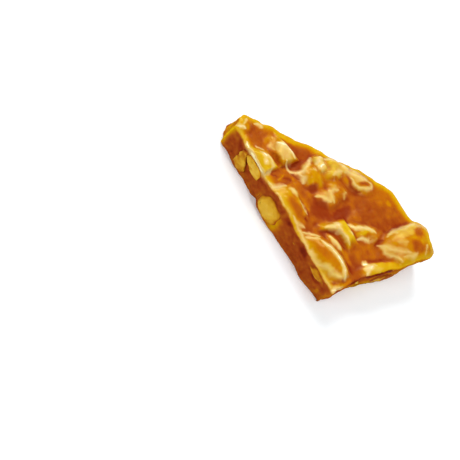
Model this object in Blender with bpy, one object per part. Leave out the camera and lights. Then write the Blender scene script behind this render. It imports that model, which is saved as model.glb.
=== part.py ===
"""Nut brittle piece: a shard broken from a poured sheet of hard amber caramel full of chopped nuts.

The sheet is poured flat, so its underside is level and its top swells over each nut chunk. It is then
broken, so its four sides are rough fracture walls, and a chunk that lies across a wall shows there as a
broken nut face. The caramel is one solid with a pocket for each of those chunks, and each chunk is a
solid of its own in its pocket. Chunks that stay glazed over are part of the caramel's top.

Frame: +X runs along the long straight front wall, from the narrow tip to the wide end, +Y goes from the
front wall to the back, and +Z is up. The origin is under the middle of the piece, on its flat underside.
All sizes below are in millimetres and become metres as the meshes are finished.
"""

import math
from typing import NamedTuple

import bmesh
import bpy
from mathutils import Matrix, Vector, noise

MM = 0.001

# Driving dimensions.
SHEET_THICKNESS = 7.5
SHEET_SWAY = 0.25
SWAY_SPAN = 14.0
PIECE_LENGTH = 45.4
PIECE_WIDTH = 30.0
SHEET_MARGIN = 3.0
TOP_PITCH = 0.7
WALL_PITCH = 1.1
WALL_LAYERS = 7
WALL_TOP = 12.0
SHEET_BOTTOM = -1.0
POUR_BLEND = 0.9
CHUNK_EDGE = 0.4
DRAPE_POWER = 2.6
FRACTURE_DEPTH = 0.28
FRACTURE_SPAN = 3.2
BREAK_WANDER = 0.22
BREAK_SPAN = 2.4
NUT_GAP = 0.3
NUT_ROUGHNESS = 0.12
NUT_GRAIN_SPAN = 2.0
FACET_EDGE = 0.25

# The line along which the piece broke out of the sheet, seen from above: four sides, anticlockwise.
FRONT_SIDE = ((-20.7, -14.2), (-9.0, -14.3), (-1.5, -14.1), (7.5, -14.3))
WIDE_END = ((19.6, -14.3), (19.6, -11.0), (19.3, -8.6), (19.7, -4.4), (20.8, -0.2), (21.7, 3.6),
            (22.4, 8.0), (22.9, 13.0))
BACK_SIDE = ((22.4, 14.2), (21.0, 13.9), (19.3, 14.0), (17.3, 15.3), (15.6, 15.0), (14.1, 13.5),
             (6.4, 13.1), (3.4, 11.3), (1.4, 10.0), (-1.6, 7.9), (-3.8, 5.8), (-5.0, 3.9),
             (-9.6, 1.2), (-11.2, -0.4), (-12.7, -2.3), (-15.4, -4.7), (-18.3, -6.6),
             (-19.0, -7.7), (-20.3, -8.5))
TIP_END = ((-22.3, -10.7), (-22.1, -12.4))
BREAK_LINE = FRONT_SIDE + WIDE_END + BACK_SIDE + TIP_END


class Swell(NamedTuple):
    """A rise of the poured top over a buried nut chunk: an oval dome, with facets if it is cut."""

    centre: tuple
    radii: tuple
    yaw: float
    rise: float
    facets: tuple = ()


class Facet(NamedTuple):
    """A broken side of a buried chunk: it faces a heading, at a distance from the swell's centre."""

    heading: float
    distance: float
    slope: float


class Dent(NamedTuple):
    """A soft hollow, or with a negative depth a soft lump, round a point of the top or of a wall."""

    centre: tuple
    radii: tuple
    depth: float


class Chunk(NamedTuple):
    """A nut chunk that shows at a wall: a rounded body with broken sides, each a normal and a distance."""

    name: str
    centre: tuple
    radii: tuple
    yaw: float
    breaks: tuple


SWELLS = (
    Swell((-11.6, -7.4), (4.4, 3.6), 10, 1.4,
          (Facet(104, 2.2, 2.6), Facet(-6, 2.7, 2.8), Facet(-84, 2.2, 2.2), Facet(215, 2.5, 0.8))),
    Swell((-11.8, -12.9), (4.2, 4.4), 0, 1.3,
          (Facet(96, 2.6, 1.8), Facet(0, 2.8, 2.8), Facet(142, 2.5, 1.0), Facet(-90, 2.0, 0.8))),
    Swell((-6.6, -0.4), (1.7, 1.5), 40, 1.3, (Facet(160, 1.3, 1.8),)),
    Swell((-5.0, -0.9), (2.0, 1.6), 60, 1.5),
    Swell((-4.4, 2.2), (2.4, 1.7), 40, 1.4),
    Swell((-2.6, 1.0), (1.7, 2.6), -10, 1.3),
    Swell((-2.5, 4.0), (1.8, 1.5), 40, 1.2),
    Swell((-4.3, -3.6), (3.2, 2.8), 20, 1.2, (Facet(215, 2.7, 1.2),)),
    Swell((0.2, 0.2), (2.6, 2.0), 30, 0.6),
    Swell((1.2, -3.2), (2.6, 1.8), 60, 0.6, (Facet(-40, 1.8, 0.9),)),
    Swell((0.8, 5.6), (4.4, 2.3), 36, 1.1),
    Swell((-1.0, -11.8), (5.0, 3.6), 0, 1.1, (Facet(175, 4.1, 1.8), Facet(80, 2.4, 1.4))),
    Swell((9.7, -4.1), (4.6, 3.2), -3, 1.3,
          (Facet(90, 1.8, 2.2), Facet(-84, 1.4, 2.4), Facet(184, 2.9, 1.8), Facet(0, 3.2, 0.8))),
    Swell((7.4, -5.9), (3.2, 3.2), -20, 1.0, (Facet(172, 1.3, 1.2), Facet(-32, 0.9, 2.6))),
    Swell((11.2, 0.3), (4.2, 2.4), 55, 0.9, (Facet(145, 1.7, 1.2), Facet(-35, 1.7, 0.7))),
    Swell((10.3, -7.6), (2.3, 1.1), 12, 0.6),
    Swell((13.0, -10.7), (6.2, 3.1), 8, 1.7, (Facet(8, 5.2, 1.6),)),
    Swell((18.3, 9.4), (5.0, 7.6), -8, 2.4, (Facet(176, 4.3, 2.2),)),
    Swell((19.8, -0.5), (1.5, 4.5), -19, 0.8),
    Swell((-20.8, -11.9), (1.8, 1.8), 0, 0.5),
)

TOP_DENTS = (
    Dent((-8.0, -6.2), (1.3, 2.0), 0.8),
    Dent((4.6, -0.5), (3.0, 5.0), 0.7),
    Dent((15.6, -6.0), (3.6, 1.8), 0.45),
    Dent((15.4, 2.6), (2.4, 3.2), 0.5),
    Dent((-17.4, -9.4), (3.2, 1.4), 0.4),
)

WALL_DENTS = (
    Dent((-2.2, -14.2, 1.2), (5.2, 4.0, 3.2), -0.9),
    Dent((-6.4, -14.0, 0.4), (1.0, 4.0, 1.4), 0.8),
    Dent((18.4, -14.2, 0.0), (3.6, 3.0, 4.4), 0.8),
    Dent((21.2, 2.2, 5.3), (4.0, 5.6, 1.2), 1.1),
    Dent((22.8, 11.5, 0.0), (3.0, 3.5, 4.5), 1.0),
    Dent((-22.4, -8.8, 0.0), (2.2, 2.4, 4.4), -1.6),
    Dent((-3.0, 5.0, 3.4), (5.0, 5.0, 2.2), 0.7),
    Dent((-16.0, -5.3, 5.6), (4.0, 4.0, 1.8), -0.4),
    Dent((10.0, 12.8, 4.4), (3.6, 3.6, 1.9), 0.6),
)

LEFT, RIGHT = (-1, 0, 0), (1, 0, 0)
UP, DOWN = (0, 0, 1), (0, 0, -1)

CHUNKS = (
    Chunk("nut_front_tip", (-14.4, -13.2, 4.0), (3.0, 2.9, 3.7), 0,
          ((LEFT, 1.25), (DOWN, 2.9), (UP, 2.7), ((0.89, 0, 0.46), 1.0))),
    Chunk("nut_front_left", (-11.6, -12.6, 5.8), (3.4, 3.2, 2.4), 0,
          ((RIGHT, 2.5), (UP, 1.4), ((-0.55, 0, -0.83), 1.0))),
    Chunk("nut_front_middle", (-2.6, -12.8, 3.2), (3.6, 4.4, 2.9), 4, ((LEFT, 3.0), (DOWN, 2.6))),
    Chunk("nut_front_right", (14.2, -12.6, 6.1), (3.0, 2.6, 1.2), 0, ((UP, 0.9),)),
    Chunk("nut_end_top", (19.6, -0.9, 6.9), (2.2, 3.7, 1.6), -14, ((DOWN, 0.4), (LEFT, 1.9))),
    Chunk("nut_end_back", (20.4, 2.4, 2.4), (2.4, 3.6, 1.6), -13, ((DOWN, 1.3), ((0, 1, 0), 3.1))),
    Chunk("nut_back_tip", (-16.6, -6.4, 4.2), (2.9, 2.2, 2.6), 34, ((LEFT, 2.2), (UP, 2.0))),
    Chunk("nut_back_left", (-8.0, -1.4, 3.8), (3.7, 3.2, 3.0), 40, ((DOWN, 2.6), (RIGHT, 2.7))),
    Chunk("nut_back_middle", (2.6, 8.0, 4.4), (3.8, 3.0, 2.6), 38, ((UP, 2.2), (LEFT, 3.0))),
    Chunk("nut_back_right", (10.4, 10.8, 3.4), (3.0, 3.0, 2.7), 0, ((RIGHT, 2.3), (UP, 2.2))),
)


# Shape rules: how high the poured top lies, and how far a wall stands out.

def smooth_max(first, second, blend):
    """The larger of two heights, rounded where they cross."""
    overlap = max(blend - abs(first - second), 0.0) / blend
    return max(first, second) + overlap * overlap * blend / 4


def smooth_min(first, second, blend):
    """The smaller of two heights, rounded where they cross."""
    return -smooth_max(-first, -second, blend)


def soft_hollow(dent, point):
    """How deep a dent is at a point."""
    reach = sum(((p - c) / r) ** 2 for p, c, r in zip(point, dent.centre, dent.radii))
    return dent.depth * math.exp(-reach)


def swell_height(swell, x, y):
    """Height of one swell's dome and facets above the underside."""
    dx, dy = x - swell.centre[0], y - swell.centre[1]
    turn = math.radians(swell.yaw)
    along = (dx * math.cos(turn) + dy * math.sin(turn)) / swell.radii[0]
    across = (dy * math.cos(turn) - dx * math.sin(turn)) / swell.radii[1]
    reach = math.hypot(along, across)
    height = SHEET_THICKNESS + swell.rise * (1 - reach ** DRAPE_POWER)
    for facet in swell.facets:
        heading = math.radians(facet.heading)
        beyond = dx * math.cos(heading) + dy * math.sin(heading) - facet.distance
        height = smooth_min(height, SHEET_THICKNESS - facet.slope * beyond, CHUNK_EDGE)
    return height


def top_height(x, y):
    """Height of the poured top above the underside."""
    height = SHEET_THICKNESS + SHEET_SWAY * noise.noise(Vector((x, y, 0)) / SWAY_SPAN)
    height -= sum(soft_hollow(dent, (x, y)) for dent in TOP_DENTS)
    for swell in SWELLS:
        height = smooth_max(height, swell_height(swell, x, y), POUR_BLEND)
    return height


def wall_offset(point):
    """How far a wall stands out from the break line at a point."""
    ripple = noise.noise(point / FRACTURE_SPAN) + 0.5 * noise.noise(point * 2.1 / FRACTURE_SPAN)
    return FRACTURE_DEPTH * ripple - sum(soft_hollow(dent, point) for dent in WALL_DENTS)


# Meshes.

def finish(name, mesh_data, collection, material=None):
    """A mesh object in metres, smooth between its sharp edges."""
    bmesh.ops.recalc_face_normals(mesh_data, faces=mesh_data.faces)
    bmesh.ops.scale(mesh_data, vec=(MM, MM, MM), verts=mesh_data.verts)
    mesh = bpy.data.meshes.new(name)
    mesh_data.to_mesh(mesh)
    mesh_data.free()
    piece = bpy.data.objects.new(name, mesh)
    collection.objects.link(piece)
    if material:
        mesh.materials.append(material)
        mesh.shade_smooth()
        mesh.set_sharp_from_angle(angle=math.radians(35))
    return piece


def as_cutter(piece):
    """Marks an object that only cuts."""
    piece.hide_render = True
    piece.display_type = "WIRE"
    return piece


def break_points():
    """Points along the break line, one pitch apart, wandering a little, each with its outward direction."""
    points = []
    for start, end in zip(BREAK_LINE, BREAK_LINE[1:] + BREAK_LINE[:1]):
        start, end = Vector(start), Vector(end)
        steps = max(1, round((end - start).length / WALL_PITCH))
        outward = Vector((end.y - start.y, start.x - end.x)).normalized()
        for step in range(steps):
            spot = start.lerp(end, step / steps)
            wander = BREAK_WANDER * noise.noise(spot.to_3d() / BREAK_SPAN) if step else 0
            points.append((spot + outward * wander, outward))
    return points


def make_breaker(collection):
    """The space that the broken piece fills: rough fracture walls on the break line, and a flat floor."""
    shape = bmesh.new()
    points = break_points()
    outwards = [(before + after) / (1 + before.dot(after))
                for (_, before), (_, after) in zip(points[-1:] + points[:-1], points)]
    rows = []
    for layer in range(WALL_LAYERS + 1):
        height = WALL_TOP * layer / WALL_LAYERS
        rows.append([])
        for (spot, _), outward in zip(points, outwards):
            place = Vector((spot.x, spot.y, height))
            place += outward.to_3d() * wall_offset(place)
            rows[-1].append(shape.verts.new(place))
    rings = [[shape.edges.new((row[i - 1], row[i])) for i in range(len(row))] for row in rows]
    for lower, upper in zip(rings, rings[1:]):
        bmesh.ops.bridge_loops(shape, edges=lower + upper)
    bmesh.ops.holes_fill(shape, edges=rings[0] + rings[-1], sides=0)
    return as_cutter(finish("breaker", shape, collection))


def make_sheet(collection, material):
    """The poured sheet, wider than the piece: a level underside and a top that swells over the nuts."""
    shape = bmesh.new()
    length, width = PIECE_LENGTH + 2 * SHEET_MARGIN, PIECE_WIDTH + 2 * SHEET_MARGIN
    columns, rows = round(length / TOP_PITCH), round(width / TOP_PITCH)
    bmesh.ops.create_grid(shape, x_segments=columns, y_segments=rows, size=0.5)
    bmesh.ops.scale(shape, vec=(length, width, 1), verts=shape.verts)
    top = list(shape.verts)
    grown = bmesh.ops.extrude_face_region(shape, geom=list(shape.faces), use_keep_orig=True)["geom"]
    for corner in grown:
        if isinstance(corner, bmesh.types.BMVert):
            corner.co.z = SHEET_BOTTOM
    for corner in top:
        corner.co.z = top_height(corner.co.x, corner.co.y)
    return finish("caramel", shape, collection, material)


def chunk_mesh(chunk, growth):
    """One nut chunk, or with growth the pocket round it: an uneven oval cut flat on its broken sides."""
    shape = bmesh.new()
    bmesh.ops.create_icosphere(shape, subdivisions=2, radius=1)
    for corner in shape.verts:
        uneven = 1 + NUT_ROUGHNESS * noise.noise(corner.co * NUT_GRAIN_SPAN + Vector(chunk.centre))
        corner.co = Vector(c * uneven * (r + growth) for c, r in zip(corner.co, chunk.radii))
    bmesh.ops.rotate(shape, verts=shape.verts, matrix=Matrix.Rotation(math.radians(chunk.yaw), 3, "Z"))
    for normal, distance in chunk.breaks:
        normal = Vector(normal).normalized()
        everything = list(shape.verts) + list(shape.edges) + list(shape.faces)
        cut = bmesh.ops.bisect_plane(shape, geom=everything, plane_co=normal * (distance + growth),
                                     plane_no=normal, clear_outer=True)
        rim = [e for e in cut["geom_cut"] if isinstance(e, bmesh.types.BMEdge)]
        bmesh.ops.holes_fill(shape, edges=rim, sides=0)
    bmesh.ops.remove_doubles(shape, verts=shape.verts, dist=FACET_EDGE)
    bmesh.ops.translate(shape, verts=shape.verts, vec=chunk.centre)
    return shape


def cut_by(piece, cutter, operation):
    """Adds an exact Boolean to a piece."""
    modifier = piece.modifiers.new(f"{operation.lower()}_{cutter.name}", "BOOLEAN")
    modifier.operation = operation
    modifier.solver = "EXACT"
    modifier.object = cutter


def surface(name, colour, roughness):
    """A plain finish for one kind of piece."""
    material = bpy.data.materials.new(name)
    material.use_nodes = True
    shader = material.node_tree.nodes["Principled BSDF"]
    shader.inputs["Base Color"].default_value = (*colour, 1)
    shader.inputs["Roughness"].default_value = roughness
    shader.inputs["Metallic"].default_value = 0
    return material


def make_brittle():
    """The broken piece: the caramel with its pockets, and each nut chunk in its own pocket."""
    pieces = bpy.data.collections.new("nut_brittle_piece")
    cutters = bpy.data.collections.new("cutters")
    for collection in (pieces, cutters):
        bpy.context.scene.collection.children.link(collection)
    amber = surface("amber_caramel", (0.46, 0.12, 0.01), 0.15)
    cream = surface("cream_nut", (0.66, 0.40, 0.08), 0.5)
    breaker = make_breaker(cutters)
    caramel = make_sheet(pieces, amber)
    cut_by(caramel, breaker, "INTERSECT")
    for chunk in CHUNKS:
        pocket = as_cutter(finish(f"pocket_{chunk.name}", chunk_mesh(chunk, NUT_GAP), cutters))
        cut_by(caramel, pocket, "DIFFERENCE")
        nut = finish(chunk.name, chunk_mesh(chunk, 0), pieces, cream)
        cut_by(nut, breaker, "INTERSECT")


for old in list(bpy.data.objects):
    bpy.data.objects.remove(old, do_unlink=True)
make_brittle()
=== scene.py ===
"""Nut brittle piece: one shard of glossy amber caramel, full of pale nut chunks, on a pale studio floor.

The shard was broken from a poured sheet. Its underside is level, its top swells over the nut chunks
that the caramel glazes, and its four sides are rough fracture walls where broken chunks lie bare.
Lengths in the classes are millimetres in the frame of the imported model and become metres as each
mesh is finished.
"""

import logging
import math
import random
from collections.abc import Iterable
from dataclasses import dataclass, field
from enum import Enum, IntEnum
from typing import NamedTuple

import bmesh
import bpy
import numpy
from mathutils import Matrix, Vector, noise
from mathutils.bvhtree import BVHTree
from mathutils.kdtree import KDTree


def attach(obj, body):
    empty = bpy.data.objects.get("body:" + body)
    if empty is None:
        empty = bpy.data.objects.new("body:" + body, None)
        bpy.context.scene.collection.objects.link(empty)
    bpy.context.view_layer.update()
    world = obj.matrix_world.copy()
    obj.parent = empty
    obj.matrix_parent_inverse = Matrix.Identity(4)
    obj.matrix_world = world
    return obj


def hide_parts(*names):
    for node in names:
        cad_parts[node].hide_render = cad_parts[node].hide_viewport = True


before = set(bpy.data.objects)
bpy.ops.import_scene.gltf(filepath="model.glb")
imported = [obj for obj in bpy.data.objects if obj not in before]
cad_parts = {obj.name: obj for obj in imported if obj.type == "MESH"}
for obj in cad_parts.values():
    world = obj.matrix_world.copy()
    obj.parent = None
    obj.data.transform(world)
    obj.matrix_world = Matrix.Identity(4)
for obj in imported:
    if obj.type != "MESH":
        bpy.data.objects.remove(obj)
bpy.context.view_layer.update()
MM = 0.001
LOG = logging.getLogger("nut_brittle")

Flat = tuple[float, float]
Solid = tuple[float, float, float]
Colour = tuple[float, float, float, float]
Stops = tuple[tuple[float, Colour], ...]
Socket = bpy.types.NodeSocket


class Slot(Enum):
    """The record's material slots."""

    CARAMEL = "amber_caramel"
    NUT = "cream_nut"


class Vary(Enum):
    """How a pattern works on a value."""

    ADDED = "ADD"
    SCALED = "MULTIPLY"


class Layer(IntEnum):
    """Heights at which the noise is read, so that its uses don't repeat each other."""

    SWAY = 0
    RIPPLE = 3
    LUMP = 5
    TONE = 7
    WARP_X = 11
    WARP_Y = 17
    TAPER = 23
    MOTTLE = 31
    RIM = 41


# ---- Shape rules: the same driving values as the solids, with finer relief added on top of them.

class Facet(NamedTuple):
    """A broken side of a glazed chunk: it faces a heading, at a distance from the chunk's centre."""

    heading: float
    distance: float
    slope: float


class Swell(NamedTuple):
    """A rise of the poured top over a glazed nut chunk.

    The tone says how clearly the nut shows through the film of caramel: 0 is deep brown caramel,
    0.4 is amber, 0.7 golden and 1 the yellow of bare nut.
    """

    centre: Flat
    radii: Flat
    yaw: float
    rise: float
    tone: float
    facets: tuple[Facet, ...] = ()
    knobs: float = 0.35


class Dent(NamedTuple):
    """A soft hollow, or with a negative depth a soft lump, round a point of the top or of a wall."""

    centre: tuple[float, ...]
    radii: tuple[float, ...]
    depth: float


class Tint(NamedTuple):
    """A patch of the top whose caramel is thinner or deeper than its surroundings, and which may carry cream
    that is partly a painted highlight.
    """

    centre: Flat
    radii: Flat
    yaw: float
    tone: float
    cream_and_glint: float = 0.0


class Fold(NamedTuple):
    """A fold of the film along a line: a raised ridge whose cream is partly a painted highlight or, with a
    negative rise, a groove whose dark tone is partly painted shade.
    """

    points: tuple[Flat, ...]
    width: float
    rise: float
    tone: float
    cream_and_glint: float = 0.0


class Stain(NamedTuple):
    """A patch of a wall painted paler or deeper than its surroundings: mostly the caramel's own colour, some
    painted shade or a painted highlight.
    """

    centre: Solid
    radii: Solid
    tone: float
    cream_and_glint: float = 0.0


@dataclass(frozen=True)
class SheetForm:
    """The poured sheet's top: how high it lies and how much nut shows through it."""

    thickness: float = 7.5
    sway: float = 0.25
    sway_span: float = 14.0
    blend: float = 0.9
    facet_blend: float = 0.4
    drape_power: float = 2.6
    ripple: float = 0.09
    ripple_span: float = 1.7
    base_tone: float = 0.3
    tone_drift: float = 0.1
    tone_span: float = 2.6
    swell_border: float = 1.22
    swell_fade: float = 0.42
    facet_border: float = 0.5
    facet_fade: float = 0.8
    tint_border: float = 1.3
    tint_fade: float = 0.8
    warp: float = 0.45
    warp_span: float = 2.2
    fold_spread: float = 1.5
    fold_reach: float = 1.3
    fold_fade: float = 1.4
    fold_relief: float = 0.42
    end_taper: float = 0.6
    taper_power: int = 3
    uneven: float = 0.5
    uneven_span: float = 1.3
    lump: float = 0.34
    lump_span: float = 1.5
    lump_level: float = 0.2
    lump_border: float = 1.2
    lump_fade: float = 0.5
    pool_lump: float = 0.3
    fleck: float = 0.35
    fleck_span: float = 0.9
    fleck_from: float = 0.12
    fleck_fade: float = 0.3
    mottle: float = 0.16
    mottle_scale: float = 0.6
    swells: tuple[Swell, ...] = (
        Swell((-11.6, -7.4), (4.4, 3.6), 10, 1.4, 0.6,
              (Facet(104, 2.2, 2.6), Facet(-6, 2.7, 2.8), Facet(-84, 2.2, 2.2), Facet(215, 2.5, 0.8)), 0.2),
        Swell((-11.8, -12.9), (4.2, 4.4), 0, 1.3, 0.84,
              (Facet(96, 2.6, 1.8), Facet(0, 2.8, 2.8), Facet(142, 2.5, 1.0), Facet(-90, 2.0, 0.8))),
        Swell((-6.6, -0.4), (1.7, 1.5), 40, 1.3, 0.8, (Facet(160, 1.3, 1.8),), 1),
        Swell((-5.0, -0.9), (2.0, 1.6), 60, 1.5, 0.84, (), 1),
        Swell((-4.4, 2.2), (2.4, 1.7), 40, 1.4, 0.8, (), 1),
        Swell((-2.6, 1.0), (1.7, 2.6), -10, 1.3, 0.66, (), 1),
        Swell((-2.5, 4.0), (1.8, 1.5), 40, 1.2, 0.76, (), 1),
        Swell((-4.3, -3.6), (3.2, 2.8), 20, 1.2, 0.6, (Facet(215, 2.7, 1.2),), 0.7),
        Swell((0.2, 0.2), (2.6, 2.0), 30, 0.6, 0.5, (), 0.5),
        Swell((1.2, -3.2), (2.6, 1.8), 60, 0.6, 0.5, (Facet(-40, 1.8, 0.9),), 0.4),
        Swell((0.8, 5.6), (4.4, 2.3), 36, 1.1, 0.58),
        Swell((-1.0, -11.8), (5.0, 3.6), 0, 1.1, 0.5, (Facet(175, 4.1, 1.8), Facet(80, 2.4, 1.4))),
        Swell((9.7, -4.1), (4.6, 3.2), -3, 1.3, 0.62,
              (Facet(90, 1.8, 2.2), Facet(-84, 1.4, 2.4), Facet(184, 2.9, 1.8), Facet(0, 3.2, 0.8)), 0.2),
        Swell((7.4, -5.9), (3.2, 3.2), -20, 1.0, 0.56, (Facet(172, 1.3, 1.2), Facet(-32, 0.9, 2.6)), 0.2),
        Swell((11.2, 0.3), (4.2, 2.4), 55, 0.9, 0.46, (Facet(145, 1.7, 1.2), Facet(-35, 1.7, 0.7)), 0.3),
        Swell((10.3, -7.6), (2.3, 1.1), 12, 0.6, 0.55, (), 0.2),
        Swell((13.0, -10.7), (6.2, 3.1), 8, 1.7, 0.55, (Facet(8, 5.2, 1.6),), 0.2),
        Swell((18.3, 9.4), (5.0, 7.6), -8, 2.4, 0.56, (Facet(176, 4.3, 2.2),), 0.2),
        Swell((19.8, -0.5), (1.5, 4.5), -19, 0.8, 0.8, (), 0.2),
        Swell((-20.8, -11.9), (1.8, 1.8), 0, 0.5, 0.56, (), 0.2),
    )
    dents: tuple[Dent, ...] = (
        Dent((-8.0, -6.2), (1.3, 2.0), 0.8),
        Dent((4.6, -0.5), (3.0, 5.0), 0.7),
        Dent((15.6, -6.0), (3.6, 1.8), 0.45),
        Dent((15.4, 2.6), (2.4, 3.2), 0.5),
        Dent((-17.4, -9.4), (3.2, 1.4), 0.4),
    )
    tints: tuple[Tint, ...] = (
        Tint((-10.6, -2.7), (3.2, 1.5), 32, 0.18),
        Tint((-14.2, -4.6), (2.4, 0.7), 40, 0.84),
        Tint((-17.4, -10.4), (3.6, 1.3), 0, 0.28),
        Tint((-14.8, -8.2), (1.7, 1.5), 20, 0.66),
        Tint((-11.2, -7.3), (2.6, 1.3), 8, 0.72, 0.35),
        Tint((-11.4, -10.1), (3.0, 0.7), 0, 0.44),
        Tint((-11.6, -13.2), (2.6, 1.3), 0, 0.92),
        Tint((-3.6, 1.4), (1.6, 2.6), -20, 0.78, 0.1),
        Tint((-3.4, -3.4), (2.4, 1.2), 20, 0.66),
        Tint((0.0, 1.9), (1.7, 1.0), 20, 0.36),
        Tint((-1.8, -5.2), (1.2, 1.4), -20, 0.04),
        Tint((1.2, -2.7), (1.6, 1.1), 20, 0.62, 0.2),
        Tint((3.0, -6.0), (2.4, 2.6), -30, 0.08),
        Tint((5.7, -1.6), (1.3, 2.8), 10, -0.04),
        Tint((6.0, 9.0), (3.2, 2.4), 20, 0.42),
        Tint((8.5, 10.2), (0.7, 0.6), 0, 0.6),
        Tint((12.7, 7.4), (1.5, 3.8), 0, 0.18),
        Tint((7.6, 4.6), (3.6, 2.6), 30, 0.22),
        Tint((-3.4, -12.0), (1.4, 1.8), 0, 0.7),
        Tint((0.6, -12.0), (2.8, 1.1), 0, 0.3),
        Tint((-7.2, -11.4), (1.4, 2.6), -30, 0.34),
        Tint((9.3, -3.7), (2.5, 1.2), -3, 0.92),
        Tint((11.4, 0.0), (0.9, 1.8), -8, 0.84),
        Tint((11.6, -11.6), (3.6, 1.4), 8, 0.48),
        Tint((10.6, -12.0), (1.6, 0.8), 8, 0.38),
        Tint((17.6, -6.6), (2.6, 2.2), 0, 0.16),
        Tint((13.4, -6.4), (3.2, 0.9), 0, 0.6),
        Tint((9.8, -6.3), (3.2, 0.8), 0, 0.46),
        Tint((15.4, 0.6), (2.2, 1.3), 0, 0.44),
        Tint((14.2, -3.0), (1.8, 0.9), 0, 0.38),
        Tint((15.6, 9.8), (0.9, 4.4), 0, 0.8, 0.12),
        Tint((18.9, 11.9), (0.8, 1.0), 0, 0.66),
        Tint((18.4, 6.4), (2.6, 1.7), 20, 0.54),
        Tint((20.0, 9.6), (2.2, 1.4), 0, 0.24),
        Tint((16.9, 11.9), (1.1, 1.4), 0, 0.3),
        Tint((20.9, 2.4), (0.5, 2.4), -17, 0.72),
        Tint((19.5, -1.6), (0.6, 1.5), -19, 0.98, 0.15),
        Tint((18.2, 1.4), (0.8, 2.4), -20, 0.38),
        # a painted white glint on the bare nut at the wide end's rim
        Tint((18.5, -3.3), (0.7, 1.2), 0, 0.98, 0.75),
    )
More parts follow.
